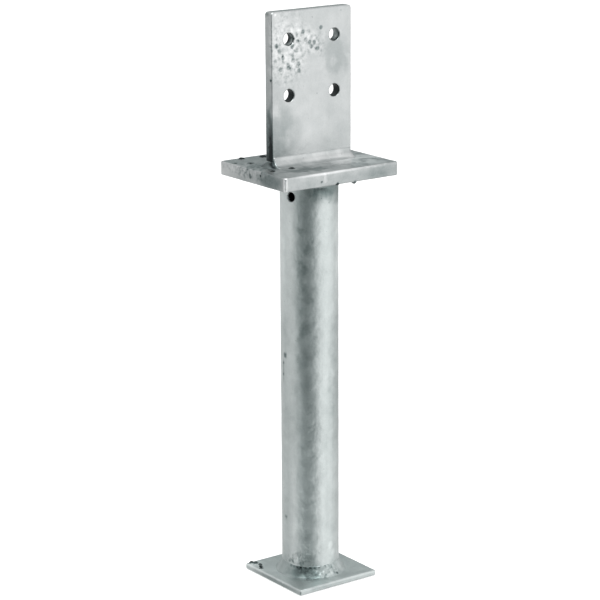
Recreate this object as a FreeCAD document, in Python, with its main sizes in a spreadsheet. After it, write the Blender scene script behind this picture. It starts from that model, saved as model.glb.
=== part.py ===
"""Post anchor: a galvanised steel post base with an upright knife plate, welded from plates and a tube.

The foot plate and most of the tube are cast into concrete. The bearing plate carries the timber post,
and the knife plate goes into a slot in the post's end and is bolted or pinned through it.

Frame: origin on the tube's axis at the foot plate's underside, +Z up, X along the knife plate's width.
Sizes are in millimetres and angles in degrees.
"""

import FreeCAD, Part
import os
import Sketcher

SIZES = [
    ("base_side", 70.0, "side of the square foot plate"),
    ("base_thickness", 4.0, "thickness of the foot plate"),
    ("base_corner_radius", 1.0, "rounding of the foot plate's corners"),
    ("drain_diameter", 10.0, "drain hole in the foot plate, inside the tube"),
    ("tube_diameter", 42.4, "outer diameter of the tube"),
    ("tube_wall", 2.6, "wall of the tube"),
    ("tube_length", 300.0, "length of the tube between the foot plate and the bearing plate"),
    ("vent_diameter", 7.0, "vent hole through one wall of the tube"),
    ("vent_drop", 12.7, "depth of the vent hole's centre below the bearing plate"),
    ("vent_turn", 15.5, "turn of the vent hole from the -X side towards the -Y side"),
    ("bearing_width", 100.0, "bearing plate along X"),
    ("bearing_depth", 80.0, "bearing plate along Y"),
    ("bearing_thickness", 10.0, "thickness of the bearing plate"),
    ("bearing_corner_radius", 2.0, "rounding of the bearing plate's corners"),
    ("knife_width", 70.0, "knife plate along X"),
    ("knife_height", 110.0, "height of the knife plate above the bearing plate"),
    ("knife_thickness", 8.0, "thickness of the knife plate along Y"),
    ("knife_corner_radius", 2.0, "rounding of the knife plate's top corners"),
    ("bolt_hole_diameter", 9.0, "bolt holes in the knife plate"),
    ("bolt_pitch_across", 40.0, "distance between the bolt holes along X"),
    ("bolt_pitch_up", 40.0, "distance between the bolt holes along Z"),
    ("bolt_edge_top", 20.0, "depth of the upper bolt holes' centres below the knife plate's top edge"),
    ("base_weld_width", 4.8, "how far the bead round the tube's foot reaches over the foot plate"),
    ("base_weld_height", 8.5, "how far the bead round the tube's foot climbs the tube"),
    ("collar_weld_width", 4.0, "how far the bead round the tube's top reaches under the bearing plate"),
    ("collar_weld_height", 6.0, "how far the bead round the tube's top hangs down the tube"),
    ("knife_weld_leg", 7.0, "leg of the long beads along the knife plate's front and back"),
    ("knife_end_leg", 4.0, "leg of the short beads at the knife plate's left and right edges"),
]

# heights at which the pieces stand
ON_BASE = "Sizes.base_thickness"
UNDER_BEARING = "Sizes.base_thickness + Sizes.tube_length"
ON_BEARING = "Sizes.base_thickness + Sizes.tube_length + Sizes.bearing_thickness"

# Sketcher's numbers for a sketch's own origin and for the points of its geometry
ORIGIN, ORIGIN_POINT = -1, 1
START, END, CENTRE = 1, 2, 3

doc = FreeCAD.newDocument("post_anchor")
sheet = doc.addObject("Spreadsheet::Sheet", "Sizes")
for row, (alias, number, meaning) in enumerate(SIZES, start=1):
    sheet.set(f"A{row}", meaning)
    sheet.set(f"B{row}", str(number))
    sheet.setAlias(f"B{row}", alias)
doc.recompute()


def value(expression):
    """What an expression gives now, for the first draft of a sketch."""
    return float(sheet.evalExpression(expression))


# Sketches -------------------------------------------------------------------------------------------

def new_sketch(body, name, plane, *offset):
    """A sketch on one of the body's origin planes. Offset is (direction, expression), if any."""
    sketch = body.newObject("Sketcher::SketchObject", name)
    support = next(feature for feature in body.Origin.OriginFeatures if feature.Role == plane)
    sketch.AttachmentSupport = (support, [""])
    sketch.MapMode = "FlatFace"
    for direction, expression in offset:
        sketch.setExpression(f"AttachmentOffset.Base.{direction}", expression)
    return sketch


def constrain(sketch, kind, *references, expression):
    """Add a dimension whose value follows an expression."""
    index = sketch.addConstraint(Sketcher.Constraint(kind, *references, value(expression)))
    sketch.setExpression(f"Constraints[{index}]", expression)


def place_point(sketch, geometry, point, across, up):
    """Hold a point at two distances from the sketch's origin."""
    for kind, expression in (("DistanceX", across), ("DistanceY", up)):
        constrain(sketch, kind, ORIGIN, ORIGIN_POINT, geometry, point, expression=expression)


def draw_outline(sketch, corners):
    """A closed outline of straight lines. Each corner is a pair of expressions."""
    points = [FreeCAD.Vector(value(across), value(up), 0) for across, up in corners]
    count = len(points)
    for index in range(count):
        sketch.addGeometry(Part.LineSegment(points[index], points[(index + 1) % count]))
    for index in range(count):
        following = (index + 1) % count
        sketch.addConstraint(Sketcher.Constraint("Coincident", index, END, following, START))
    for index, (across, up) in enumerate(corners):
        place_point(sketch, index, START, across, up)


def draw_rectangle(sketch, width, height):
    """A rectangle centred on the sketch's origin."""
    right, top = f"{width} / 2", f"{height} / 2"
    left, bottom = f"-{right}", f"-{top}"
    draw_outline(sketch, [(left, bottom), (right, bottom), (right, top), (left, top)])


def draw_circle(sketch, across, up, diameter):
    """A circle whose centre and diameter follow expressions."""
    centre = FreeCAD.Vector(value(across), value(up), 0)
    upright = FreeCAD.Vector(0, 0, 1)
    circle = sketch.addGeometry(Part.Circle(centre, upright, value(diameter) / 2))
    constrain(sketch, "Diameter", circle, expression=diameter)
    place_point(sketch, circle, CENTRE, across, up)


# Features -------------------------------------------------------------------------------------------

def new_body(label, height="0"):
    """A body on the tube's axis whose own origin stands at a height, given as an expression."""
    body = doc.addObject("PartDesign::Body", label)
    body.Label = label
    body.setExpression("Placement.Base.z", height)
    return body


def pad(body, sketch, length, side="One side"):
    """Extrude a sketch along its plane's normal, or half to each side."""
    feature = body.newObject("PartDesign::Pad", f"{sketch.Name}_pad")
    feature.Profile = sketch
    feature.SideType = side
    feature.setExpression("Length", length)
    doc.recompute()
    return feature


def pocket(body, sketch, length=None):
    """Cut a sketch against its plane's normal to a length, or right through on both sides."""
    before = body.Shape.Volume
    feature = body.newObject("PartDesign::Pocket", f"{sketch.Name}_pocket")
    feature.Profile = sketch
    if length is None:
        feature.Type = "ThroughAll"
        feature.SideType = "Symmetric"
    else:
        feature.setExpression("Length", length)
    doc.recompute()
    if body.Shape.Volume >= before:
        raise ValueError(f"{feature.Name} cuts nothing")
    return feature


def revolve(body, sketch, angle=360.0, reversed_turn=False):
    """Turn a sketch about its own vertical axis."""
    feature = body.newObject("PartDesign::Revolution", f"{sketch.Name}_turn")
    feature.Profile = sketch
    feature.ReferenceAxis = (sketch, ["V_Axis"])
    feature.Angle = angle
    feature.Reversed = reversed_turn
    doc.recompute()
    return feature


def round_edges(body, feature, direction, radius, above="0"):
    """Fillet the straight edges that run along a direction and whose middles are no lower than above."""
    lowest = value(above)
    names = []
    for number, edge in enumerate(feature.Shape.Edges, start=1):
        along = edge.tangentAt(edge.FirstParameter)
        if edge.Curve.TypeId == "Part::GeomLine" and abs(along.dot(direction)) > 0.999:
            if edge.CenterOfMass.z >= lowest:
                names.append(f"Edge{number}")
    fillet = body.newObject("PartDesign::Fillet", f"{feature.Name}_corners")
    fillet.Base = (feature, names)
    fillet.setExpression("Radius", radius)
    doc.recompute()
    return fillet


# Pieces ---------------------------------------------------------------------------------------------

def make_base_plate():
    """Square foot plate with a drain hole under the tube's bore."""
    body = new_body("base_plate")
    outline = new_sketch(body, "base_outline", "XY_Plane")
    draw_rectangle(outline, "Sizes.base_side", "Sizes.base_side")
    slab = pad(body, outline, "Sizes.base_thickness")
    round_edges(body, slab, FreeCAD.Vector(0, 0, 1), "Sizes.base_corner_radius")
    drain = new_sketch(body, "base_drain", "XY_Plane")
    draw_circle(drain, "0", "0", "Sizes.drain_diameter")
    pocket(body, drain)
    return body


def make_post_tube():
    """Round tube. The vent hole goes through the wall on its own -X side, and the tube is turned."""
    body = new_body("post_tube", ON_BASE)
    section = new_sketch(body, "tube_section", "XY_Plane")
    draw_circle(section, "0", "0", "Sizes.tube_diameter")
    draw_circle(section, "0", "0", "Sizes.tube_diameter - 2 * Sizes.tube_wall")
    pad(body, section, "Sizes.tube_length")
    vent = new_sketch(body, "tube_vent", "YZ_Plane")
    draw_circle(vent, "0", "Sizes.tube_length - Sizes.vent_drop", "Sizes.vent_diameter")
    pocket(body, vent, "Sizes.tube_diameter")
    body.setExpression("Placement.Rotation.Angle", "Sizes.vent_turn")
    return body


def make_bearing_plate():
    """Rectangular plate that the timber post stands on."""
    body = new_body("bearing_plate", UNDER_BEARING)
    outline = new_sketch(body, "bearing_outline", "XY_Plane")
    draw_rectangle(outline, "Sizes.bearing_width", "Sizes.bearing_depth")
    slab = pad(body, outline, "Sizes.bearing_thickness")
    round_edges(body, slab, FreeCAD.Vector(0, 0, 1), "Sizes.bearing_corner_radius")
    return body


def make_knife_plate():
    """Upright plate with a rectangle of bolt holes."""
    body = new_body("knife_plate", ON_BEARING)
    outline = new_sketch(body, "knife_outline", "XZ_Plane")
    left, right = "-Sizes.knife_width / 2", "Sizes.knife_width / 2"
    top = "Sizes.knife_height"
    draw_outline(outline, [(left, "0"), (right, "0"), (right, top), (left, top)])
    blade = pad(body, outline, "Sizes.knife_thickness", "Symmetric")
    round_edges(body, blade, FreeCAD.Vector(0, 1, 0), "Sizes.knife_corner_radius", "Sizes.knife_height / 2")
    holes = new_sketch(body, "knife_holes", "XZ_Plane")
    upper = "Sizes.knife_height - Sizes.bolt_edge_top"
    for side in ("-", ""):
        for height in (upper, f"{upper} - Sizes.bolt_pitch_up"):
            draw_circle(holes, f"{side}Sizes.bolt_pitch_across / 2", height, "Sizes.bolt_hole_diameter")
    pocket(body, holes)
    return body


def make_ring_bead(label, level, rise):
    """Fillet bead round the tube. Rise is + for a bead that climbs the tube and - for one that hangs."""
    body = new_body(label, level)
    section = new_sketch(body, f"{label}_section", "XZ_Plane")
    wall, width, height = "Sizes.tube_diameter / 2", f"Sizes.{label}_width", f"Sizes.{label}_height"
    draw_outline(section, [(wall, "0"), (f"{wall} + {width}", "0"), (wall, f"{rise}{height}")])
    revolve(body, section)
    return body


def make_long_bead(label, side):
    """Fillet bead along one face of the knife plate. Side is - for the front and + for the back."""
    body = new_body(label, ON_BEARING)
    section = new_sketch(body, f"{label}_section", "YZ_Plane")
    face, leg = f"{side}Sizes.knife_thickness / 2", "Sizes.knife_weld_leg"
    draw_outline(section, [(face, "0"), (f"{face} {side} {leg}", "0"), (face, leg)])
    pad(body, section, "Sizes.knife_width", "Symmetric")
    return body


def make_end_bead(label, side):
    """Short fillet bead at one edge of the knife plate, rounded off at both corners."""
    body = new_body(label, ON_BEARING)
    section = new_sketch(body, f"{label}_section", "XZ_Plane")
    face, leg = f"{side}Sizes.knife_width / 2", "Sizes.knife_end_leg"
    draw_outline(section, [(face, "0"), (f"{face} {side} {leg}", "0"), (face, leg)])
    pad(body, section, "Sizes.knife_thickness", "Symmetric")
    for name, corner in (("front", "Sizes.knife_thickness / 2"), ("back", "-Sizes.knife_thickness / 2")):
        profile = new_sketch(body, f"{label}_{name}", "XZ_Plane", ("x", face), ("z", corner))
        draw_outline(profile, [("0", "0"), (f"{side}{leg}", "0"), ("0", leg)])
        turns_back = (name == "front") == (side == "+")
        revolve(body, profile, 90.0, turns_back)
    return body


def make_all():
    """Every piece, in the order in which the anchor is welded up."""
    return [
        make_base_plate(),
        make_post_tube(),
        make_ring_bead("base_weld", ON_BASE, "+"),
        make_bearing_plate(),
        make_ring_bead("collar_weld", UNDER_BEARING, "-"),
        make_knife_plate(),
        make_long_bead("knife_weld_front", "-"),
        make_long_bead("knife_weld_back", "+"),
        make_end_bead("knife_weld_left", "-"),
        make_end_bead("knife_weld_right", "+"),
    ]


def check(bodies):
    """Stop if a feature failed or a piece isn't one sound solid."""
    for feature in doc.Objects:
        if "Invalid" in feature.State or "Error" in feature.State:
            raise ValueError(f"{feature.Name} failed: {feature.State}")
    for body in bodies:
        shape = body.Shape
        if shape.isNull() or not shape.isValid() or len(shape.Solids) != 1:
            raise ValueError(f"{body.Label} isn't one valid solid")


pieces = make_all()
doc.recompute()
check(pieces)
os.makedirs("parts", exist_ok=True)
for piece in pieces:
    piece.Shape.exportStep(f"parts/{piece.Label}.step")
    box = piece.Shape.BoundBox
    print(f"{piece.Label}: volume {piece.Shape.Volume:.1f} mm3, "
          f"X {box.XMin:.2f} to {box.XMax:.2f}, Y {box.YMin:.2f} to {box.YMax:.2f}, "
          f"Z {box.ZMin:.2f} to {box.ZMax:.2f}")
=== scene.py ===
import math

import bmesh
import bpy
from bpy.props import FloatProperty, FloatVectorProperty, IntProperty, PointerProperty
from bpy.types import Operator, Panel, PropertyGroup
from mathutils import Matrix, Vector


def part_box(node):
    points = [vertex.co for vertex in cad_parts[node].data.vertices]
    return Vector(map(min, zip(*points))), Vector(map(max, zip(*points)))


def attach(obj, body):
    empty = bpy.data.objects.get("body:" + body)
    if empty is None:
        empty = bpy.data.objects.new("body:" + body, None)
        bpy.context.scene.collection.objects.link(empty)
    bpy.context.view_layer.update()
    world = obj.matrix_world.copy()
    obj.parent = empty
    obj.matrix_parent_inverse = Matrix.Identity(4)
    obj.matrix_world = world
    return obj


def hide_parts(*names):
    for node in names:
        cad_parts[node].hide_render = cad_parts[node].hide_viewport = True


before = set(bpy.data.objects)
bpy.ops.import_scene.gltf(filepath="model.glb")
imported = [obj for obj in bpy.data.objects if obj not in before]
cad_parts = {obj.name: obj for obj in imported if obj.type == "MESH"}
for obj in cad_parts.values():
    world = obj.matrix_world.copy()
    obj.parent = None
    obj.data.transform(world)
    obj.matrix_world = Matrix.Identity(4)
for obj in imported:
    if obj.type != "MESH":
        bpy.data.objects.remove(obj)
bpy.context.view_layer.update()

# A hot-dip galvanised post foot: a square foot plate and a tube that are cast
# into the ground, a bearing plate on the tube, and an upright knife plate with
# four bolt holes that a timber post is slotted over. Four steel pieces and six
# weld beads, each shown by one piece with the zinc's own lumps and edges.

bl_info = {
    "name": "Galvanised Post Foot",
    "version": (1, 0, 0),
    "blender": (4, 5, 0),
    "location": "View3D > Sidebar > Post Foot",
    "description": "Builds a hot-dip galvanised post foot and a plain stage for it",
    "category": "Object",
}

MM = 0.001


def cad_box(node):
    """A CAD node's lowest and highest corner, in mm."""
    return [Vector([round(c / MM, 3) for c in corner]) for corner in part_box(node)]


# Sizes in mm. What a CAD piece's box gives is read from it.
FOOT_TOP = cad_box("base_plate")[1].z
BEARING_LOW, BEARING_HIGH = cad_box("bearing_plate")
KNIFE_HIGH = cad_box("knife_plate")[1]
TUBE_RADIUS = 21.2
TUBE_WALL = 2.6
VENT_RADIUS = 3.5
VENT_DROP = 12.7  # from the bearing plate down to the vent's middle
VENT_HEIGHT = BEARING_LOW.z - VENT_DROP
VENT_BEARING = math.radians(195.5)  # anticlockwise from +X
HOLE_RADIUS = 4.5
HOLE_PITCH = 40.0
HOLE_EDGE = 20.0  # from the knife plate's top to the middles of the upper holes
HOLE_MIDDLE = KNIFE_HIGH.z - HOLE_EDGE - HOLE_PITCH / 2


def linear(code):
    """A #RRGGBB colour, turned from sRGB to linear."""
    parts = [int(code[i : i + 2], 16) / 255 for i in (1, 3, 5)]
    return tuple(
        p / 12.92 if p <= 0.04045 else ((p + 0.055) / 1.055) ** 2.4 for p in parts
    )


# ------------ settings


class ZincSettings(PropertyGroup):
    """Colours and gloss of the zinc coat."""

    # The dross colour is also the painted shade inside the knife plate's bolt holes.
    dross: FloatVectorProperty(
        name="Dross", description="Darkest specks and the dull zinc in bores",
        subtype="COLOR", default=linear("#252B2C"), min=0, max=1)
    dull: FloatVectorProperty(
        name="Dull zinc", description="Grey of thin, alloyed zinc",
        subtype="COLOR", default=linear("#7B8585"), min=0, max=1)
    plain: FloatVectorProperty(
        name="Plain zinc", description="The common grey of the coat",
        subtype="COLOR", default=linear("#C6C9C9"), min=0, max=1)
    bright: FloatVectorProperty(
        name="Bright zinc", description="Thick, fresh zinc",
        subtype="COLOR", default=linear("#F6F7F7"), min=0, max=1)
    roughness: FloatProperty(
        name="Roughness", description="Middle of the coat's roughness",
        default=0.36, min=0.05, max=1)


class CoatSettings(PropertyGroup):
    """Sizes of the zinc coat's rounding and lumps."""

    grid: FloatProperty(
        name="Plate grid", description="Spacing of a plate's surface points",
        unit="LENGTH", default=0.6 * MM, min=0.3 * MM, max=3 * MM)
    rounding: IntProperty(
        name="Edge rounding", description="Smoothing passes over the cut edges",
        default=5, min=0, max=40)
    lump_size: FloatProperty(
        name="Lump size", description="Width of the coat's slow waves",
        unit="LENGTH", default=16 * MM, min=1 * MM)
    lump_height: FloatProperty(
        name="Lump height", description="Height of the coat's slow waves",
        unit="LENGTH", default=0.3 * MM, min=0)
    ripple_size: FloatProperty(
        name="Ripple size", description="Width of the coat's small waves",
        unit="LENGTH", default=4 * MM, min=0.5 * MM)
    ripple_height: FloatProperty(
        name="Ripple height", description="Height of the coat's small waves",
        unit="LENGTH", default=0.1 * MM, min=0)
    pimple_reach: FloatProperty(
        name="Pimple reach", description="Radius of the largest loose pimples",
        unit="LENGTH", default=1.3 * MM, min=0.3 * MM)
    pimple_height: FloatProperty(
        name="Pimple height", description="Height of the highest pimples",
        unit="LENGTH", default=0.22 * MM, min=0)


class BeadSettings(PropertyGroup):
    """Sizes of the weld beads."""

    step: FloatProperty(
        name="Step", description="Spacing of sections along a bead",
        unit="LENGTH", default=0.5 * MM, min=0.2 * MM)
    tuck: FloatProperty(
        name="Tuck", description="How far a bead reaches into the steel it joins",
        unit="LENGTH", default=0.5 * MM, min=0.1 * MM)
    ripple_length: FloatProperty(
        name="Ripple length", description="Distance between the weld's ripples",
        unit="LENGTH", default=3.2 * MM, min=0.5 * MM)
    ripple_height: FloatProperty(
        name="Ripple height", description="Height of the weld's ripples",
        unit="LENGTH", default=0.07 * MM, min=0)
    lump_height: FloatProperty(
        name="Lump height", description="Height of the zinc's lumps on a weld",
        unit="LENGTH", default=0.8 * MM, min=0)


class StageSettings(PropertyGroup):
    """The floor, the camera's place and the studio light."""

    floor_colour: FloatVectorProperty(
        name="Floor colour", description="Pale, plain floor",
        subtype="COLOR", default=linear("#F7F7F7"), min=0, max=1)
    floor_width: FloatProperty(
        name="Floor width", description="Side of the square floor",
        unit="LENGTH", default=16.0, min=1)
    azimuth: FloatProperty(
        name="Azimuth", description="Camera's turn about the upright axis",
        subtype="ANGLE", default=math.radians(-36.07))
    pitch: FloatProperty(
        name="Pitch", description="How far the camera looks down",
        subtype="ANGLE", default=math.radians(14.8))
    roll: FloatProperty(
        name="Roll", description="Camera's turn about its own line of sight",
        subtype="ANGLE", default=math.radians(-0.285))
    distance: FloatProperty(
        name="Distance", description="From the camera to the point it looks at",
        unit="LENGTH", default=1.7018)
    aim_side: FloatProperty(
        name="Aim to the side", description="Aim's shift to the camera's right",
        unit="LENGTH", default=-6.9 * MM)
    aim_height: FloatProperty(
        name="Aim height", description="Height that the camera looks at",
        unit="LENGTH", default=211.0 * MM)
    lens: FloatProperty(
        name="Lens", description="Focal length on a 36 mm sensor, in millimetres",
        default=140.2, min=10)


# ------------ node trees


def socket(sockets, name):
    """The socket with this place, identifier or name."""
    if isinstance(name, str):
        for found in sockets:
            if found.identifier == name:
                return found
    return sockets[name]


def add(tree, kind, inputs=None, **settings):
    """Adds a node with its settings, and fills or links its inputs."""
    node = tree.nodes.new(kind)
    for name, value in settings.items():
        setattr(node, name, value)
    for name, value in (inputs or {}).items():
        end = socket(node.inputs, name)
        if isinstance(value, bpy.types.Node):
            value = next(s for s in value.outputs if s.enabled)
        if isinstance(value, bpy.types.NodeSocket):
            tree.links.new(value, end)
        else:
            end.default_value = value
    return node


def maths(tree, operation, *values):
    """A Math node on these numbers or outputs."""
    return add(tree, "ShaderNodeMath", dict(enumerate(values)), operation=operation)


def vectors(tree, operation, *values, **named):
    """A Vector Math node on these vectors or outputs."""
    inputs = dict(enumerate(values)) | named
    return add(tree, "ShaderNodeVectorMath", inputs, operation=operation)


def soft_step(tree, value, start, end, low=0.0, high=1.0):
    """Goes from low, where value is start, to high at end, in an S-shaped curve."""
    return add(tree, "ShaderNodeMapRange",
               {"Value": value, "From Min": start, "From Max": end,
                "To Min": low, "To Max": high}, interpolation_type="SMOOTHSTEP")


def noise(tree, place, size, detail=2.0, roughness=0.5):
    """Cloudy noise whose largest waves are this wide, in mm."""
    return add(tree, "ShaderNodeTexNoise",
               {"Vector": place, "Scale": 1 / (size * MM), "Detail": detail,
                "Roughness": roughness})


def store(tree, geometry, name, value):
    """Keeps a value on each point, under a name."""
    return add(tree, "GeometryNodeStoreNamedAttribute",
               {"Geometry": geometry, "Name": name, "Value": value},
               data_type="FLOAT", domain="POINT")


def stored(tree, name):
    """The value that store kept under this name."""
    return add(tree, "GeometryNodeInputNamedAttribute", {"Name": name}, data_type="FLOAT")


def random_share(tree, low, high, seed):
    """A random number for each point."""
    return add(tree, "FunctionNodeRandomValue",
               {"Min_001": low, "Max_001": high, "Seed": seed}, data_type="FLOAT")


def weighed_sum(tree, start, terms):
    """start, plus each output's distance from its middle times its weight."""
    total = start - sum(middle * weight for _, middle, weight in terms)
    for output, _, weight in terms:
        total = maths(tree, "MULTIPLY_ADD", output, weight, total)
    return total


def new_tree(name, inputs):
    """A Geometry Nodes tree with named inputs. Returns the tree and its input node."""
    tree = bpy.data.node_groups.new(name, "GeometryNodeTree")
    tree.interface.new_socket("Geometry", in_out="INPUT", socket_type="NodeSocketGeometry")
    tree.interface.new_socket("Geometry", in_out="OUTPUT", socket_type="NodeSocketGeometry")
    for label, kind in inputs:
        tree.interface.new_socket(label, in_out="INPUT", socket_type="NodeSocket" + kind)
    return tree, add(tree, "NodeGroupInput").outputs


def end_tree(tree, geometry, material):
    """Ends a tree in Realize Instances and Set Material."""
    real = add(tree, "GeometryNodeRealizeInstances", {"Geometry": geometry})
    smooth = add(tree, "GeometryNodeSetShadeSmooth", {"Geometry": real})
    done = add(tree, "GeometryNodeSetMaterial", {"Geometry": smooth, "Material": material})
    add(tree, "NodeGroupOutput", {"Geometry": done})
    return tree


def coat_tree():
    """Zinc coat: slow lumps, small ripples, loose pimples and the listed marks.
    Leaves how dark or bright each mark is in "shade"."""
    tree, given = new_tree("Zinc coat", [
        ("Marks", "Object"), ("Lump Size", "Float"), ("Lump Height", "Float"),
        ("Ripple Size", "Float"), ("Ripple Height", "Float"),
        ("Pimple Density", "Float"), ("Pimple Reach", "Float"),
        ("Pimple Height", "Float"), ("Seed", "Int"), ("Material", "Material")])
    place = add(tree, "GeometryNodeInputPosition")
    normal = add(tree, "GeometryNodeInputNormal")

    waves = []
    for size, height, detail in (("Lump Size", "Lump Height", 1.5),
                                 ("Ripple Size", "Ripple Height", 2.0)):
        scale = maths(tree, "DIVIDE", 1.0, given[size])
        wave = add(tree, "ShaderNodeTexNoise",
                   {"Vector": place, "W": given["Seed"], "Scale": scale,
                    "Detail": detail}, noise_dimensions="4D")
        level = maths(tree, "SUBTRACT", wave, 0.5)
        waves.append(maths(tree, "MULTIPLY", level, given[height]))

    # Pimples stand in loose groups, as dross settles on a dipped plate.
    groups = add(tree, "ShaderNodeTexNoise",
                 {"Vector": place, "W": given["Seed"], "Scale": 1 / (28 * MM)},
                 noise_dimensions="4D")
    crowd = soft_step(tree, groups, 0.45, 0.68)
    loose = add(tree, "GeometryNodeDistributePointsOnFaces",
                {"Mesh": given["Geometry"], "Density": given["Pimple Density"],
                 "Seed": given["Seed"]}, distribute_method="RANDOM")
    thin = add(tree, "FunctionNodeCompare", {0: random_share(tree, 0.0, 1.0, 5), 1: crowd},
               data_type="FLOAT", operation="GREATER_THAN")
    loose = add(tree, "GeometryNodeDeleteGeometry",
                {"Geometry": loose, "Selection": thin}, domain="POINT")
    for label, low, high, seed in (("reach", 0.45, 1.0, 1), ("height", -0.35, 1.0, 2),
                                   ("shade", -0.55, 0.25, 3)):
        share = random_share(tree, low, high, seed)
        if label != "shade":
            share = maths(tree, "MULTIPLY", share, given["Pimple " + label.title()])
        loose = store(tree, loose, label, share)
    placed = add(tree, "GeometryNodeObjectInfo", {"Object": given["Marks"]})
    placed = add(tree, "GeometryNodeMeshToPoints",
                 {"Mesh": placed.outputs["Geometry"], "Radius": MM})
    marks = add(tree, "GeometryNodeJoinGeometry")
    for points in (loose, placed):
        tree.links.new(points.outputs[0], marks.inputs[0])

    # Each place on the surface follows the mark that is nearest to it.
    nearest = add(tree, "GeometryNodeSampleNearest",
                  {"Geometry": marks, "Sample Position": place}, domain="POINT")
    found = {}
    for label in ("reach", "height", "shade"):
        found[label] = add(tree, "GeometryNodeSampleIndex",
                           {"Geometry": marks, "Value": stored(tree, label),
                            "Index": nearest}, data_type="FLOAT", domain="POINT")
    centre = add(tree, "GeometryNodeSampleIndex",
                 {"Geometry": marks, "Value": place, "Index": nearest},
                 data_type="FLOAT_VECTOR", domain="POINT")
    away = vectors(tree, "DISTANCE", place, centre)
    share = maths(tree, "DIVIDE", away, found["reach"])
    share = weighed_sum(tree, 0.0, [(share, 0, 1.0), (noise(tree, place, 1.6), 0.5, 0.75)])
    # The shade reaches a little past the lump, so a dark mark has no bright rim.
    shade = maths(tree, "MULTIPLY", soft_step(tree, share, 1.1, 0.7), found["shade"])
    shaded = store(tree, given["Geometry"], "shade", shade)
    inside = soft_step(tree, share, 1.0, 0.4)
    rise = maths(tree, "MULTIPLY_ADD", inside, found["height"], waves[0])
    rise = maths(tree, "ADD", rise, waves[1])
    offset = vectors(tree, "SCALE", normal, Scale=rise)
    moved = add(tree, "GeometryNodeSetPosition", {"Geometry": shaded, "Offset": offset})
    return end_tree(tree, moved, given["Material"])


def bead_tree():
    """Weld bead: a section swept along a path, with the weld's own ripples."""
    tree, given = new_tree("Weld bead", [
        ("Path", "Object"), ("Section", "Object"), ("Step", "Float"),
        ("Taper", "Float"), ("Ripple Length", "Float"), ("Ripple Height", "Float"),
        ("Material", "Material")])
    path = add(tree, "GeometryNodeObjectInfo", {"Object": given["Path"]})
    path = add(tree, "GeometryNodeResampleCurve",
               {"Curve": path.outputs["Geometry"], "Length": given["Step"]}, mode="LENGTH")
    path = add(tree, "GeometryNodeSetCurveNormal", {"Curve": path}, mode="Z_UP")
    along = add(tree, "GeometryNodeSplineParameter")
    whole = add(tree, "GeometryNodeSplineLength")
    left = maths(tree, "SUBTRACT", whole, along.outputs["Length"])
    near = maths(tree, "MINIMUM", along.outputs["Length"], left)
    full = soft_step(tree, near, 0.0, given["Taper"], low=0.25)
    path = store(tree, path, "along", along.outputs["Length"])
    section = add(tree, "GeometryNodeObjectInfo", {"Object": given["Section"]})
    across = add(tree, "GeometryNodeSplineParameter")
    section = store(tree, section.outputs["Geometry"], "across", across.outputs["Factor"])
    swept = add(tree, "GeometryNodeCurveToMesh",
                {"Curve": path, "Profile Curve": section, "Scale": full,
                 "Fill Caps": True})
    # The ripples lean across the bead and their spacing wanders.
    place = add(tree, "GeometryNodeInputPosition")
    turns = maths(tree, "DIVIDE", stored(tree, "along"), given["Ripple Length"])
    turns = weighed_sum(tree, 0.0, [(turns, 0, 1.0), (stored(tree, "across"), 0, 0.8),
                                    (noise(tree, place, 9), 0.5, 1.6)])
    wave = maths(tree, "SINE", maths(tree, "MULTIPLY", turns, math.tau))
    wave = maths(tree, "MULTIPLY", wave, given["Ripple Height"])
    normal = add(tree, "GeometryNodeInputNormal")
    offset = vectors(tree, "SCALE", normal, Scale=wave)
    moved = add(tree, "GeometryNodeSetPosition", {"Geometry": swept, "Offset": offset})
    return end_tree(tree, moved, given["Material"])


def shared_tree(name, build):
    """The tree with this name, built the first time that it is asked for."""
    return bpy.data.node_groups.get(name) or build()


def add_nodes(piece, tree, values):
    """Puts a tree on a piece and sets the tree's inputs by their identifiers."""
    modifier = piece.modifiers.new(tree.name, "NODES")
    modifier.node_group = tree
    for item in tree.interface.items_tree:
        if item.item_type == "SOCKET" and item.in_out == "INPUT" and item.name in values:
            modifier[item.identifier] = values[item.name]


# ------------ materials


def patch(tree, place, centre, radii):
    """1 in the middle of a soft-edged oval, falling to 0 at its radii, in mm."""
    mapped = add(tree, "ShaderNodeMapping",
                 {"Vector": place, "Location": Vector(centre) * MM,
                  "Scale": Vector(radii) * MM}, vector_type="TEXTURE")
    return soft_step(tree, vectors(tree, "LENGTH", mapped), 1.0, 0.25)


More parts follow.
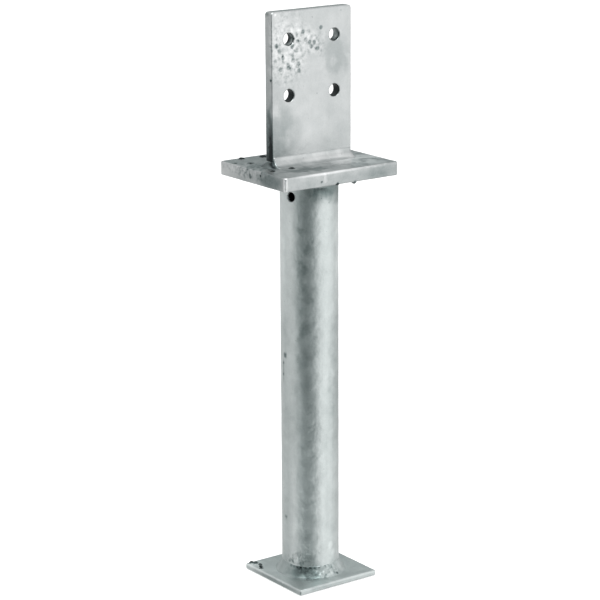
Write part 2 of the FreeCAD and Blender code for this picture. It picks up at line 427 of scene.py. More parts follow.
def zinc_material(name, patches=(), rough=(), base=0.5, cloud=0.2, mottle=0.16,
                  runs=0.0, bores=False, roughness=0.0, bump=0.12, tint="#FFFFFF"):
    """Hot-dip zinc: metal whose grey runs from dark dross to bright fresh zinc.

    base is the middle grey, from 0 dross to 1 bright. cloud, mottle and runs are
    how strongly it drifts over about 45 mm, over about 8 mm, and down the sides.
    patches are (centre, radii, shade) in mm, mostly painted light and shade that lighten or
    darken places, and rough is a list of (centre, radii) where the coat froze over ash and
    dross.
    """
    finish = bpy.context.scene.foot_zinc
    material = bpy.data.materials.new(name)
    material.use_nodes = True
    tree = material.node_tree
    tree.nodes.clear()
    place = add(tree, "ShaderNodeTexCoord").outputs["Object"]

    # The coordinates are bent a little, so no patch has a drawn edge.
    stir = noise(tree, place, 14, detail=3.0)
    stir = vectors(tree, "SUBTRACT", stir.outputs["Color"], (0.5, 0.5, 0.5))
    stir = vectors(tree, "SCALE", stir, Scale=16 * MM)
    bent = vectors(tree, "ADD", place, stir)

    drift = noise(tree, place, 45)
    spots = noise(tree, place, 8, detail=4.0, roughness=0.6)
    grain = noise(tree, place, 1.3, detail=3.0)
    # Zinc crystals are about 6 mm across and barely show.
    crystals = add(tree, "ShaderNodeTexVoronoi",
                   {"Vector": bent, "Scale": 1 / (6 * MM)}, feature="SMOOTH_F1")
    crystal = add(tree, "ShaderNodeSeparateColor", {"Color": crystals.outputs["Color"]})
    # Dross specks are about a millimetre across, and stand in the lighter spots.
    specks = add(tree, "ShaderNodeTexVoronoi", {"Vector": bent, "Scale": 1 / (4.5 * MM)})
    speck = maths(tree, "MULTIPLY", soft_step(tree, specks, 0.2, 0.05),
                  soft_step(tree, spots, 0.58, 0.66))

    mark = add(tree, "ShaderNodeAttribute", attribute_name="shade")
    terms = [(drift, 0.5, cloud), (spots, 0.5, mottle),
             (crystal.outputs["Red"], 0.5, 0.03), (grain, 0.5, 0.1),
             (speck, 0.0, -0.2), (mark.outputs["Fac"], 0.0, 1.0)]
    if runs:
        stretched = add(tree, "ShaderNodeMapping",
                        {"Vector": place, "Scale": (1.0, 1.0, 0.06)})
        terms.append((noise(tree, stretched, 5), 0.5, runs))
    for centre, radii, shade in patches:
        # A patch on a narrow edge keeps straight coordinates, so it stays on it.
        where = place if min(radii) < 3 else bent
        terms.append((patch(tree, where, centre, radii), 0.0, shade))
    crust = 0.0
    for centre, radii in rough:
        crust = maths(tree, "MAXIMUM", patch(tree, bent, centre, radii), crust)
    if rough:
        # Frozen crust: bumps about 2.6 mm apart, with dark ash in the hollows.
        bumps = noise(tree, place, 2.6, detail=1.0, roughness=0.4)
        ash = maths(tree, "MULTIPLY", soft_step(tree, bumps, 0.46, 0.28), crust)
        lift = maths(tree, "MULTIPLY", maths(tree, "SUBTRACT", bumps, 0.5), crust)
        terms += [(ash, 0.0, -0.1), (lift, 0.0, 0.75)]
    if bores:
        # Painted shade on the walls of the four bolt holes.
        terms.append((bore_shade(tree, place), 0.0, -0.62))
    level = weighed_sum(tree, base, terms)

    ramp = add(tree, "ShaderNodeValToRGB", {"Fac": level})
    ends = ramp.color_ramp.elements
    cast = linear(tint)
    ends.new(0.25)
    ends.new(0.6)
    for end, colour in zip(ends, (finish.dross, finish.dull, finish.plain, finish.bright)):
        end.color = (*(c * t for c, t in zip(colour, cast)), 1)

    gloss = weighed_sum(tree, finish.roughness + roughness,
                        [(spots, 0.5, 0.18), (grain, 0.5, 0.12), (level, base, -0.12)])
    fine = add(tree, "ShaderNodeBump",
               {"Strength": 1.0, "Distance": bump * 0.25 * MM, "Height": grain})
    broad = add(tree, "ShaderNodeBump",
                {"Strength": 1.0, "Distance": bump * 3 * MM, "Height": spots,
                 "Normal": fine})
    if rough:
        broad = add(tree, "ShaderNodeBump",
                    {"Strength": 1.0, "Distance": 0.5 * MM, "Height": lift,
                     "Normal": broad})
    # Where the zinc is thickest it is frosted, and shines less like a mirror.
    metal = soft_step(tree, level, 0.75, 1.1, low=0.92, high=0.7)
    shader = add(tree, "ShaderNodeBsdfPrincipled",
                 {"Base Color": ramp, "Metallic": metal, "Roughness": gloss,
                  "Normal": broad})
    add(tree, "ShaderNodeOutputMaterial", {"Surface": shader})
    return material


def bore_shade(tree, place):
    """1 inside the knife plate's four bolt holes, 0 on its faces: where shade is painted."""
    split = add(tree, "ShaderNodeSeparateXYZ", {"Vector": place})
    middle = maths(tree, "SUBTRACT", split.outputs["Z"], HOLE_MIDDLE * MM)
    sides = []
    for output in (split.outputs["X"], middle):
        folded = maths(tree, "ABSOLUTE", output)
        sides.append(maths(tree, "SUBTRACT", folded, HOLE_PITCH / 2 * MM))
    flat = add(tree, "ShaderNodeCombineXYZ", {"X": sides[0], "Y": 0.0, "Z": sides[1]})
    near = add(tree, "ShaderNodeMapRange",
               {"Value": vectors(tree, "LENGTH", flat), "From Min": (HOLE_RADIUS + 1.5) * MM,
                "From Max": (HOLE_RADIUS + 1.0) * MM})
    deep = soft_step(tree, maths(tree, "ABSOLUTE", split.outputs["Y"]),
                     (KNIFE_HIGH.y - 0.1) * MM, (KNIFE_HIGH.y - 1.0) * MM)
    return maths(tree, "MULTIPLY", near, deep)


# ------------ mesh helpers


def new_piece(name, mesh):
    """A new object at the origin with this mesh."""
    piece = bpy.data.objects.new(name, mesh)
    bpy.context.scene.collection.objects.link(piece)
    return piece


def settle(piece):
    """Turns a piece's modifiers into plain mesh."""
    graph = bpy.context.evaluated_depsgraph_get()
    mesh = bpy.data.meshes.new_from_object(
        piece.evaluated_get(graph), preserve_all_data_layers=True, depsgraph=graph)
    piece.modifiers.clear()
    piece.data = mesh
    mesh.name = piece.name
    check = bmesh.new()
    check.from_mesh(mesh)
    loose = sum(not e.is_manifold for e in check.edges)
    volume = check.calc_volume(signed=True)
    check.free()
    if loose or volume <= 0:
        raise RuntimeError(f"{piece.name} isn't a closed shape: {loose} open edges, "
                           f"volume {volume:.3g}")


def put_on_body(piece, node):
    """The piece stands for a CAD node and rides on the body."""
    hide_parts(node)
    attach(piece, "root")


def mark_points(name, marks):
    """Points for the coat: (x, y, z, reach, height, shade), all but shade in mm."""
    mesh = bpy.data.meshes.new(name)
    marks = list(marks) or [(0, 0, -500, 1, 0, 0)]  # far below, so that it marks nothing
    mesh.from_pydata([Vector(m[:3]) * MM for m in marks], [], [])
    for column, (label, unit) in enumerate((("reach", MM), ("height", MM), ("shade", 1))):
        values = mesh.attributes.new(label, "FLOAT", "POINT")
        values.data.foreach_set("value", [m[3 + column] * unit for m in marks])
    return new_piece(name, mesh)


def add_coat(piece, material, marks=(), seed=0, lump=1.0, ripple=1.0, density=0.0,
             lump_height=None):
    """Adds the zinc coat to a piece that has not been evaluated yet, then settles it."""
    coat = bpy.context.scene.foot_coat
    points = mark_points(piece.name + "_marks", marks)
    height = coat.lump_height if lump_height is None else lump_height
    add_nodes(piece, shared_tree("Zinc coat", coat_tree), {
        "Marks": points, "Lump Size": coat.lump_size, "Lump Height": height * lump,
        "Ripple Size": coat.ripple_size, "Ripple Height": coat.ripple_height * ripple,
        "Pimple Density": density, "Pimple Reach": coat.pimple_reach,
        "Pimple Height": coat.pimple_height, "Seed": seed, "Material": material})
    settle(piece)
    bpy.data.objects.remove(points)


def zinc_plate(name, node, material, marks, seed, density, ripple=1.0):
    """A CAD plate's merged copy, its cut edges rounded as dipped zinc rounds them."""
    coat = bpy.context.scene.foot_coat
    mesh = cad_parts[node].data.copy()
    mesh.materials.clear()
    merged = bmesh.new()
    merged.from_mesh(mesh)
    bmesh.ops.remove_doubles(merged, verts=merged.verts, dist=0.001 * MM)
    merged.to_mesh(mesh)
    merged.free()
    piece = new_piece(name, mesh)
    remesh = piece.modifiers.new("Fine grid", "REMESH")
    remesh.mode, remesh.voxel_size = "VOXEL", coat.grid
    soften = piece.modifiers.new("Round edges", "SMOOTH")
    soften.factor, soften.iterations = 0.5, coat.rounding
    add_coat(piece, material, marks, seed, ripple=ripple, density=density)
    put_on_body(piece, node)


# ------------ the pieces


class FOOT_OT_base_plate(Operator):
    """Build the square foot plate that is cast into the ground"""

    bl_idname = "foot.base_plate"
    bl_label = "Foot Plate"

    def execute(self, context):
        # Thin flat plate: pale satin grey, with painted shade on its near side faces
        # and its top painted lighter and darker in patches.
        material = zinc_material(
            "Hot-dip zinc on the foot plate", base=0.72, mottle=0.24, bump=0.18,
            tint="#FAFFFE",
            patches=[
                ((-19, -25, 4), (34, 24, 6), -0.12), ((6, -27, 4), (22, 9, 6), -0.12),
                ((-26, 6, 4), (9, 22, 6), 0.06), ((-35, 0, 1.5), (1.5, 48, 2.6), -0.34),
                ((0, -35, 1.5), (60, 1.5, 2.6), -0.2), ((-31, 31, 4), (12, 12, 4), 0.12)])
        zinc_plate("foot_plate", "base_plate", material, marks=[
            (-31.4, 32.2, 4, 2.7, 1.3, -0.8), (-29.6, 30.4, 4, 2.7, 1.1, -0.8),
            (-28.6, 25.0, 4, 1.8, 1.1, -0.8), (-30.2, 22.0, 4, 1.8, 1.0, -0.8),
            (-31.8, 19.0, 4, 1.8, 0.9, -0.8)],
            seed=11, density=900, ripple=1.6)
        return {"FINISHED"}


class FOOT_OT_bearing_plate(Operator):
    """Build the bearing plate that the timber post stands on"""

    bl_idname = "foot.bearing_plate"
    bl_label = "Bearing Plate"

    def execute(self, context):
        # Thick plate: mottled and crusty at the left. Painted light brightens the top to the
        # right, painted highlights run along the front rim and down the near corner, and
        # painted shade darkens the left face, the top's front left and the front face's right.
        material = zinc_material(
            "Hot-dip zinc on the bearing plate", base=0.5, mottle=0.26, bump=0.2,
            rough=[((-44, 8, 312), (18, 40, 9))],
            patches=[
                ((-16, -24, 314), (36, 14, 3.5), -0.28), ((34, -16, 314), (40, 34, 3.5), 0.48),
                ((-40, 0, 314), (14, 18, 3.5), -0.2), ((-50, -22, 309), (2.5, 22, 9), -0.24),
                ((0, -40, 306), (70, 2.5, 8), -0.06), ((-50, 34, 309), (2.5, 22, 9), 0.14),
                ((-12, -40, 314), (44, 2.6, 2.2), 0.34), ((36, -40, 309), (26, 2.6, 8), -0.1),
                ((-50, -40, 309), (2.9, 2.9, 16), 0.5)])
        # A run of zinc that froze on the front face, painted a little lighter as a highlight.
        ridge = [(-15 - 0.5 * (k % 2), -40, 308 + 1.5 * k, 1.9, 0.35, 0.12)
                 for k in range(4)]
        zinc_plate("bearing_plate_zinc", "bearing_plate", material, marks=ridge + [
            (-33.9, 36, 314, 2.8, 1.0, -0.8), (-17.2, 32.5, 314, 3.4, 1.0, -0.9),
            (-25, -13.5, 314, 2.6, 0.7, -0.8),
            (-38, 18.6, 314, 3.0, 0.4, -0.4), (-50, 2, 309, 2.0, 0.4, -0.35),
            (-47.1, 25.6, 314, 2.2, 0.4, -0.4), (-42, -14, 314, 2.2, 0.4, -0.6),
            (-4.5, -39.5, 304, 1.8, 0.4, -0.5), (11.1, -38.6, 304, 1.8, 1.4, -0.3)],
            seed=23, density=1500, ripple=2.2)
        return {"FINISHED"}


class FOOT_OT_knife_plate(Operator):
    """Build the upright knife plate with its four bolt holes"""

    bl_idname = "foot.knife_plate"
    bl_label = "Knife Plate"

    def execute(self, context):
        # Bright upright plate, with a rough crust round the upper left hole. Painted light
        # brightens its upper left and the two upper bolt holes; painted shade darkens its
        # lower left, its middle right, the left edge face towards its foot and the walls of
        # all four bolt holes.
        material = zinc_material(
            "Hot-dip zinc on the knife plate", base=0.56, bores=True, runs=0.06,
            rough=[((-21, -4, 397), (26, 6, 36)), ((0, -4, 400), (16, 6, 15))],
            patches=[
                ((-20, -4, 402), (26, 6, 36), 0.12), ((-32, -4, 336), (24, 5, 34), -0.18),
                ((4, -4, 340), (20, 5, 26), 0.06), ((21, -4, 388), (20, 5, 24), -0.14),
                ((-36, 0, 314), (2.6, 16, 66), -0.56), ((-36, 0, 400), (2.6, 16, 60), -0.04),
                ((-36, 2, 424), (2.6, 7, 5), -0.3),
                ((-20, 0, 404), (9, 6, 9), 0.4), ((20, 0, 404), (9, 6, 9), 0.5)])
        # Places of the larger dark lumps in the crust: (across, height).
        dark = [(-7.7, 408.4), (-5.4, 402.4), (-2, 400.3), (2.2, 399.9), (-0.6, 397.2),
                (4.8, 395.3), (-12.6, 402), (-25.1, 391.2), (-27.3, 383.2),
                (-20.7, 383.6), (-11.8, 386), (-11.3, 380.9), (-16.3, 388.6),
                (-30.7, 400.1), (-17, 398.7), (8, 409.9)]
        zinc_plate("knife_plate_zinc", "knife_plate", material, marks=[
            (x, -4, z, 1.8, 0.12, -0.3) for x, z in dark], seed=37, density=1500)
        return {"FINISHED"}


def tube_mesh(name, radius, wall, low, high, vent_angle, vent_height, vent_radius):
    """A tube's mesh, closed at both ends, with one round vent through its wall.

    Outer and inner wall share one grid. Round the vent a window of the grid is
    left out, and rings run from the window's edge to the hole.
    """
    sides, rows = 200, 170
    half, rings = 5, 7  # squares from the vent to the window's edge, and its rings
    steps = [low + (high - low) * j / rows for j in range(rows + 1)]
    middle = min(range(rows + 1), key=lambda j: abs(steps[j] - vent_height))
    reach = half + 1
    points, faces, index = [], [], {}

    def vertex(key, r, angle, z):
        if key not in index:
            index[key] = len(points)
            points.append((r * math.cos(angle), r * math.sin(angle), z))
        return index[key]

    def grid(wall_key, r, i, j):
        return vertex((wall_key, i % sides, j), r,
                      vent_angle + math.tau * i / sides, steps[j])

    def quad(loop, outward):
        faces.append(loop if outward else loop[::-1])

    border = ([(i, -reach) for i in range(-reach, reach)]
              + [(reach, j) for j in range(-reach, reach)]
              + [(i, reach) for i in range(reach, -reach, -1)]
              + [(-reach, j) for j in range(reach, -reach, -1)])
    for wall_key, r in (("outer", radius), ("inner", radius - wall)):
        outward = wall_key == "outer"
        for i in range(sides):
            for j in range(rows):
                turn = (i + sides // 2) % sides - sides // 2
                if -reach <= turn < reach and middle - reach <= j < middle + reach:
                    continue
                quad([grid(wall_key, r, i, j), grid(wall_key, r, i + 1, j),
                      grid(wall_key, r, i + 1, j + 1), grid(wall_key, r, i, j + 1)],
                     outward)

        # Rings from the window's edge to the hole, whose lip is drawn in softly.
        def ring(k):
            loop = []
            for n, (i, j) in enumerate(border):
                if k == rings:
                    loop.append(grid(wall_key, r, i, middle + j))
                    continue
                arc = radius * math.tau * i / sides
                rise = steps[middle + j] - vent_height
                bearing = math.atan2(rise, arc)
                share = (k / rings) ** 1.4  # closer together near the hole
                lip = vent_radius * 1.12  # the lip is a little wider than the bore
                a = lip * math.cos(bearing) * (1 - share) + arc * share
                z = lip * math.sin(bearing) * (1 - share) + rise * share
                loop.append(vertex((wall_key, "ring", k, n), r,
                                   vent_angle + a / radius, vent_height + z))
            return loop

        for k in range(rings):
            inner, outer = ring(k), ring(k + 1)
            for n in range(len(border)):
                m = (n + 1) % len(border)
                quad([inner[n], outer[n], outer[m], inner[m]], outward)

    # The hole's own wall, from the outer lip to the inner lip.
    # (share of the wall's depth, share of the hole's radius)
    depths = [(0.12, 1.03), (0.3, 1.0), (0.7, 1.0), (0.88, 1.03)]
    loops = [[index[("outer", "ring", 0, n)] for n in range(len(border))]]
    for d, (depth, widen) in enumerate(depths):
        loop = []
        for n, (i, j) in enumerate(border):
            bearing = math.atan2(steps[middle + j] - vent_height,
                                 radius * math.tau * i / sides)
            loop.append(vertex(("bore", d, n), radius - wall * depth,
                               vent_angle + vent_radius * widen * math.cos(bearing) / radius,
                               vent_height + vent_radius * widen * math.sin(bearing)))
        loops.append(loop)
    loops.append([index[("inner", "ring", 0, n)] for n in range(len(border))])
    for first, second in zip(loops, loops[1:]):
        for n in range(len(border)):
            m = (n + 1) % len(border)
            quad([first[n], first[m], second[m], second[n]], True)

    for j, upward in ((0, False), (rows, True)):
        for i in range(sides):
            quad([grid("inner", radius - wall, i, j), grid("outer", radius, i, j),
                  grid("outer", radius, i + 1, j), grid("inner", radius - wall, i + 1, j)],
                 upward)
    mesh = bpy.data.meshes.new(name)
    mesh.from_pydata([Vector(p) * MM for p in points], [], faces)
    return mesh


class FOOT_OT_post_tube(Operator):
    """Build the round tube between the two plates, with its vent"""

    bl_idname = "foot.post_tube"
    bl_label = "Post Tube"

    def execute(self, context):
        low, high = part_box("post_tube")
        mesh = tube_mesh("post_tube_zinc", radius=TUBE_RADIUS, wall=TUBE_WALL,
                         low=low.z / MM, high=high.z / MM, vent_angle=VENT_BEARING,
                         vent_height=VENT_HEIGHT, vent_radius=VENT_RADIUS)
        piece = new_piece("post_tube_zinc", mesh)
        # Dull blotches down the tube's front left: (bearing, height, width, tallness).
        dull = [(213, 235, 4, 6), (215, 244, 3.5, 4), (222, 238, 4, 7), (220, 227, 4, 7),
                (225, 253, 4.5, 5), (220, 266, 4.5, 4), (231, 216, 4, 5), (225, 194, 7, 12),
                (221, 172, 7, 12), (226, 150, 7, 14)]
        blotches = [(on_ring(TUBE_RADIUS, bearing, z), (wide, wide, tall), -0.16)
                    for bearing, z, wide, tall in dull]
        # Satin tube, streaked down its length, with a painted shadow under the bearing plate,
        # painted light and shade in long patches up and down it, and a darker patch above the
        # foot bead.
        material = zinc_material(
            "Hot-dip zinc on drawn tube", base=0.64, cloud=0.16, mottle=0.3, runs=0.14,
            bump=0.2, roughness=0.03, tint="#FAFFFE",
            rough=[((-19, -9, 17), (10, 14, 9))],
            patches=blotches + [
                ((-20, 4, 262), (16, 16, 70), 0.16), ((18, -10, 255), (18, 18, 56), 0.2),
                ((-16, -14, 230), (9, 9, 100), -0.1), ((10, -18, 150), (12, 10, 90), -0.14),
                ((-14, -16, 50), (16, 16, 90), 0.16), ((-21, 3.9, 160), (3, 1.6, 14), -0.2),
                ((10, -14, 297), (30, 30, 14), -0.32), ((-8, -19, 297), (12, 8, 9), -0.14),
                ((-7, -22, 292), (16, 12, 8), -0.24), ((-14, -16, 13), (12, 12, 10), -0.2)])
        add_coat(piece, material, marks=[
            (-21.1, 1.5, 173, 2.2, 0.2, -0.4), (-21.1, 1.6, 48, 1.8, 0.1, -0.3),
            (-20.9, 3.8, 166, 1.1, 0.1, -0.3), (-20.8, 4.1, 158, 1.1, 0.1, -0.3),
            (3, -21, 27, 2.5, 0.15, 0.1), (6, -20.3, 20, 2.4, 0.15, 0.1),
            (-19, -9.2, 20.9, 1.6, 0.1, -0.25), (-17.2, -12.4, 14.5, 2, 0.1, -0.4),
            (-20.4, -5.7, 15.5, 1.6, 0.1, -0.3), (-21, -2.9, 15, 1.5, 0.1, -0.25)],
            seed=41, lump=1.1, ripple=0.45, density=400)
        put_on_body(piece, "post_tube")
        return {"FINISHED"}


def on_ring(radius, bearing, height):
    """A point this far from the tube's axis, its bearing in degrees from +X."""
    angle = math.radians(bearing)
    return (radius * math.cos(angle), radius * math.sin(angle), height)


def line_object(name, points, closed):
    """A poly line from points in mm, to be a bead's path or its section."""
    curve = bpy.data.curves.new(name, "CURVE")
    curve.dimensions = "3D"
    spline = curve.splines.new("POLY")
    spline.points.add(len(points) - 1)
    for place, point in zip(spline.points, points):
        place.co = (*(Vector(point) * MM), 1)
    spline.use_cyclic_u = closed
    return new_piece(name, curve)


def fillet_section(width, height, bulge, tuck, upright):
    """A bead's cross-section: out from the corner, and up it, or down if upright is -1.

    bulge above 0 is a full, rounded bead and below 0 is a hollow one.
    """
    steps = 14
    outer = []
    for k in range(steps + 1):
        share = k / steps
        swell = bulge * 4 * share * (1 - share) / math.sqrt(2)
        outer.append((width * (1 - share) + swell, height * share + swell))
    outline = [(-tuck, -tuck), (width, -tuck), *outer, (-tuck, height)]
    return [(x, -y * upright, 0) for x, y in outline][::-upright]


def weld_bead(name, node, path, closed, width, height, bulge, material, marks=(),
              upright=1, taper=0.0, seed=0, density=3000, lumps=1.0, ripples=1.0):
    """Sweeps one bead, coats it, and puts it in its CAD bead's place."""
    bead = bpy.context.scene.foot_bead
    line = line_object(name + "_path", path, closed)
    section = line_object(name + "_section",
                          fillet_section(width, height, bulge, bead.tuck / MM, upright),
                          True)
    piece = new_piece(name, bpy.data.meshes.new(name))
    add_nodes(piece, shared_tree("Weld bead", bead_tree), {
        "Path": line, "Section": section, "Step": bead.step,
        "Taper": max(taper, 1e-6) * MM, "Ripple Length": bead.ripple_length,
        "Ripple Height": bead.ripple_height * ripples, "Material": material})
    add_coat(piece, material, marks, seed, density=density, ripple=1.6 * lumps,
             lump_height=bead.lump_height * lumps)
    for helper in (line, section):
        bpy.data.objects.remove(helper)
    put_on_body(piece, node)


def circle(radius, height):
    """A circle of points, anticlockwise from above, so a bead's outside is outward."""
    spacing = 2  # degrees
    return [on_ring(radius, bearing, height) for bearing in range(0, 360, spacing)]


class FOOT_OT_tube_welds(Operator):
    """Build the ring beads at the tube's foot and under the bearing plate"""

    bl_idname = "foot.tube_welds"
    bl_label = "Tube Welds"

    def execute(self, context):
        # Weld under zinc: darker and livelier than plate, crusted on the near side. Painted
        # shade darkens the collar bead under the bearing plate; the foot bead is painted
        # darker at its front left and lighter at its front right.
        material = zinc_material(
            "Hot-dip zinc over a ring weld", base=0.46, mottle=0.3, roughness=0.03,
            bump=0.18, tint="#F8FFFE",
            rough=[((0, -25, 7), (17, 7, 7)), ((-16, -16, 11), (10, 9, 4))],
            patches=[
                ((-17, -16, 9), (14, 12, 9), -0.2), ((-15.5, -19.5, 6), (9, 9, 8), -0.22),
                ((-23, -9, 8), (8, 10, 7), -0.14),
                ((14, -20, 8), (9, 7, 6), 0.12), ((0, 0, 300), (40, 40, 9), -0.12)])
        # Painted shade in dashes along the upper toe, where the bead meets the tube, and small
        # grains further round: (bearing, height, rise, shade).
        toe = [(192, 11.6, 0, -0.16), (199, 11.6, 0, -0.16), (206, 11.6, 0, -0.16),
               (214, 11.6, 0, -0.2), (222, 11.6, 0, -0.2), (234, 11.8, 0.3, -0.14),
               (243, 11.4, 0.3, -0.1), (253, 12, 0.35, -0.04), (268, 11.6, 0.3, 0.04),
               (283, 11.4, 0.3, 0.04)]
        # Lumps on the bead's face, painted a little paler as highlights: (bearing, height).
        lumps = [(247, 8), (254, 6.5), (262, 9), (276, 8), (286, 7), (301, 8.5)]
        marks = [(*on_ring(TUBE_RADIUS + 0.4, bearing, z), 1.4, rise, shade)
                 for bearing, z, rise, shade in toe]
        marks += [(*on_ring(TUBE_RADIUS + 2.8, bearing, z), 2.4, 0.14, 0.06)
                  for bearing, z in lumps]
        weld_bead("foot_weld", "base_weld", circle(TUBE_RADIUS, FOOT_TOP), closed=True,
                  width=4.8, height=8.3, bulge=-0.5, material=material, marks=marks,
                  seed=53, ripples=0.3)
        weld_bead("collar_weld_zinc", "collar_weld", circle(TUBE_RADIUS, BEARING_LOW.z),
                  closed=True, width=4.0, height=5.8, bulge=-0.3, material=material,
                  upright=-1, seed=59, ripples=0.4)
        return {"FINISHED"}


class FOOT_OT_knife_welds(Operator):
    """Build the beads round the knife plate's foot"""

    bl_idname = "foot.knife_welds"
    bl_label = "Knife Welds"

    def execute(self, context):
        # Smooth bead, with painted light along the front and painted shade where it turns the
        # left corner and on the left bead.
        material = zinc_material(
            "Hot-dip zinc over a fillet weld", base=0.52, mottle=0.22, roughness=-0.04,
            bump=0.14,
            patches=[
                ((-38, 1, 315), (7, 14, 8), -0.36), ((-35.5, -7, 317), (2.8, 8, 8), -0.3),
                ((-24, -6, 319), (12, 5, 5), 0.1), ((12, -8, 317), (32, 8, 7), 0.2)])
        half, face, top = KNIFE_HIGH.x, KNIFE_HIGH.y, BEARING_HIGH.z
        for side, name in ((1, "knife_weld_front"), (-1, "knife_weld_back")):
            weld_bead(name + "_zinc", name,
                      [(-side * half, -side * face, top), (side * half, -side * face, top)],
                      closed=False, width=7.0, height=7.0, bulge=-1.9, material=material,
                      seed=61 + side, taper=1.6, lumps=0.45, ripples=0.15)
        for side, name in ((1, "knife_weld_right"), (-1, "knife_weld_left")):
            # From the front face round the plate's edge to the back face.
            corner, turned = 0.4, 2.5
            bend = []
            for k in range(5):
                angle = math.radians(90 * k / 4)
                bend.append((half - corner + corner * math.sin(angle),
                             -face + corner - corner * math.cos(angle)))
            bend = [(half - turned, -face)] + bend + [(x, -y) for x, y in bend[::-1]]
            bend.append((half - turned, face))
            weld_bead(name + "_zinc", name, [(side * x, side * y, top) for x, y in bend],
                      closed=False, width=4.0, height=4.0, bulge=-0.5, material=material,
                      seed=71 + side, taper=1.0, lumps=0.45, ripples=0.15)
        return {"FINISHED"}


# ------------ the stage


def studio_world():
    """Soft studio surroundings for the metal to mirror, plain white to the eye."""
    world = bpy.data.worlds.new("Soft studio")
    bpy.context.scene.world = world
    world.use_nodes = True
    tree = world.node_tree
    tree.nodes.clear()
    toward = add(tree, "ShaderNodeTexCoord").outputs["Generated"]
    # (turn from +X, height, inner and outer half-angle, strength)
    panels = [
        (225, -2, 6, 54, -0.7),  # the dark room behind the camera
        (303, -8, 8, 52, 0.5),  # a broad soft panel to the camera's right
        (55, 10, 8, 34, -0.5),  # the room across from the camera
        (125, -14, 8, 40, -0.12),  # the room across to the left
        (0, 90, 10, 60, 0.3),  # the ceiling panel
    ]
    total = 0.78  # the walls between the panels
    for turn, height, inner, outer, strength in panels:
        turn, height = math.radians(turn), math.radians(height)
        axis = (math.cos(turn) * math.cos(height), math.sin(turn) * math.cos(height),
                math.sin(height))
        facing = vectors(tree, "DOT_PRODUCT", toward, axis)
        glow = soft_step(tree, facing, math.cos(math.radians(outer)),
                         math.cos(math.radians(inner)), high=strength)
        total = maths(tree, "ADD", glow, total)
    # The dark parts of the room are a little blue-green, the panels white.
    share = add(tree, "ShaderNodeMapRange", {"Value": total, "From Max": 0.7})
    tone = add(tree, "ShaderNodeMix",
               {"Factor_Float": share, "A_Color": (*linear("#DDFFFF"), 1),
                "B_Color": (1, 1, 1, 1)}, data_type="RGBA")
    lit = add(tree, "ShaderNodeBackground", {"Color": tone, "Strength": total})
    plain = add(tree, "ShaderNodeBackground", {"Color": (1, 1, 1, 1), "Strength": 1.0})
    seen = add(tree, "ShaderNodeLightPath").outputs["Is Camera Ray"]
    both = add(tree, "ShaderNodeMixShader", {0: seen, 1: lit, 2: plain})
    add(tree, "ShaderNodeOutputWorld", {"Surface": both})


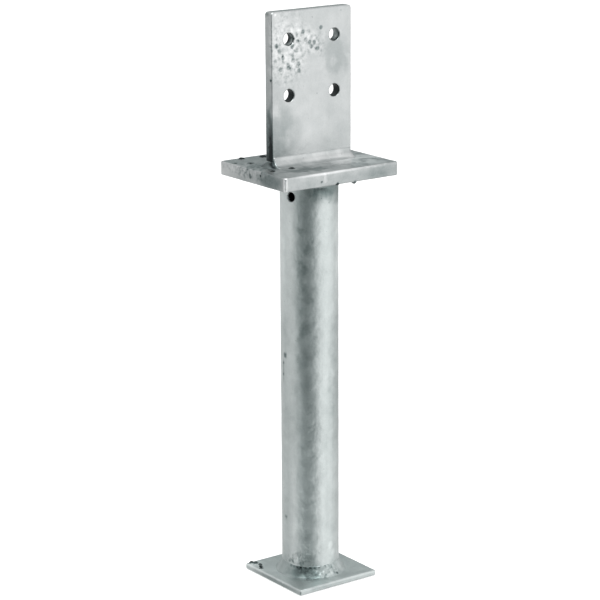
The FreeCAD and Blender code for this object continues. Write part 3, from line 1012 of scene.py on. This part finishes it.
class FOOT_OT_stage(Operator):
    """Build the floor, the studio light and the camera"""

    bl_idname = "foot.stage"
    bl_label = "Stage"

    def execute(self, context):
        stage = context.scene.foot_stage
        half = stage.floor_width / 2
        mesh = bpy.data.meshes.new("floor")
        # The floor is just clear of the lumps under the foot plate.
        level = -0.6 * MM
        mesh.from_pydata([(-half, -half, level), (half, -half, level),
                          (half, half, level), (-half, half, level)], [], [(0, 1, 2, 3)])
        floor = new_piece("floor", mesh)
        # Painted floor: pale and matt, lit from within a little so it stays white.
        paint = bpy.data.materials.new("Matt white floor paint")
        paint.use_nodes = True
        tree = paint.node_tree
        tree.nodes.clear()
        place = add(tree, "ShaderNodeTexCoord").outputs["Object"]
        matt = add(tree, "ShaderNodeMapRange",
                   {"Value": noise(tree, place, 60), "To Min": 0.88, "To Max": 0.94})
        shader = add(tree, "ShaderNodeBsdfPrincipled",
                     {"Base Color": (*stage.floor_colour, 1), "Roughness": matt,
                      "Specular IOR Level": 0.1,
                      "Emission Color": (1, 1, 1, 1), "Emission Strength": 0.42})
        add(tree, "ShaderNodeOutputMaterial", {"Surface": shader})
        floor.data.materials.append(paint)
        floor.visible_glossy = False

        key = bpy.data.lights.new("Key panel", "AREA")
        key.shape = "RECTANGLE"
        key.size, key.size_y = 1.6, 1.2
        key.energy = 26
        lamp = bpy.data.objects.new("Key panel", key)
        lamp.location = (-0.5, -0.9, 2.1)
        lamp.rotation_euler = (Vector((0, 0, 0.25)) - lamp.location).to_track_quat(
            "-Z", "Y").to_euler()
        context.scene.collection.objects.link(lamp)
        studio_world()

        turn, pitch, roll = stage.azimuth, stage.pitch, stage.roll
        ahead = Vector((-math.sin(turn) * math.cos(pitch),
                        math.cos(turn) * math.cos(pitch), -math.sin(pitch)))
        right = Vector((math.cos(turn), math.sin(turn), 0))
        up = right.cross(ahead)
        side = right * math.cos(roll) + up * math.sin(roll)
        over = up * math.cos(roll) - right * math.sin(roll)
        aim = Vector((0, 0, stage.aim_height)) + right * stage.aim_side
        lens = bpy.data.cameras.new("Camera")
        lens.lens, lens.sensor_width, lens.clip_end = stage.lens, 36.0, 50.0
        camera = bpy.data.objects.new("Camera", lens)
        turned = Matrix((side, over, -ahead)).transposed().to_4x4()
        camera.matrix_world = Matrix.Translation(aim - ahead * stage.distance) @ turned
        context.scene.collection.objects.link(camera)
        context.scene.camera = camera
        context.scene.view_settings.view_transform = "Standard"
        return {"FINISHED"}


# ------------ add-on


class FOOT_PT_sidebar(Panel):
    """Lists the steps that build the post foot"""

    bl_label = "Post Foot"
    bl_idname = "FOOT_PT_sidebar"
    bl_space_type = "VIEW_3D"
    bl_region_type = "UI"
    bl_category = "Post Foot"

    def draw(self, context):
        for step in STEPS:
            self.layout.operator(step.bl_idname)
        for settings in SETTINGS:
            group = getattr(context.scene, settings)
            box = self.layout.box()
            for name in group.bl_rna.properties.keys():
                if name not in ("rna_type", "name"):
                    box.prop(group, name)


SETTINGS = {"foot_zinc": ZincSettings, "foot_coat": CoatSettings,
            "foot_bead": BeadSettings, "foot_stage": StageSettings}
STEPS = (FOOT_OT_base_plate, FOOT_OT_post_tube, FOOT_OT_tube_welds,
         FOOT_OT_bearing_plate, FOOT_OT_knife_plate, FOOT_OT_knife_welds, FOOT_OT_stage)


def register():
    """Registers the classes and puts the settings on the scene."""
    for cls in (*SETTINGS.values(), *STEPS, FOOT_PT_sidebar):
        bpy.utils.register_class(cls)
    for name, cls in SETTINGS.items():
        setattr(bpy.types.Scene, name, PointerProperty(type=cls))


def unregister():
    """Takes away what register added."""
    for name in SETTINGS:
        delattr(bpy.types.Scene, name)
    for cls in (FOOT_PT_sidebar, *STEPS[::-1], *list(SETTINGS.values())[::-1]):
        bpy.utils.unregister_class(cls)


def main():
    """Builds every piece and the stage."""
    register()
    for step in STEPS:
        group, name = step.bl_idname.split(".")
        getattr(getattr(bpy.ops, group), name)()


if __name__ == "__main__":
    main()
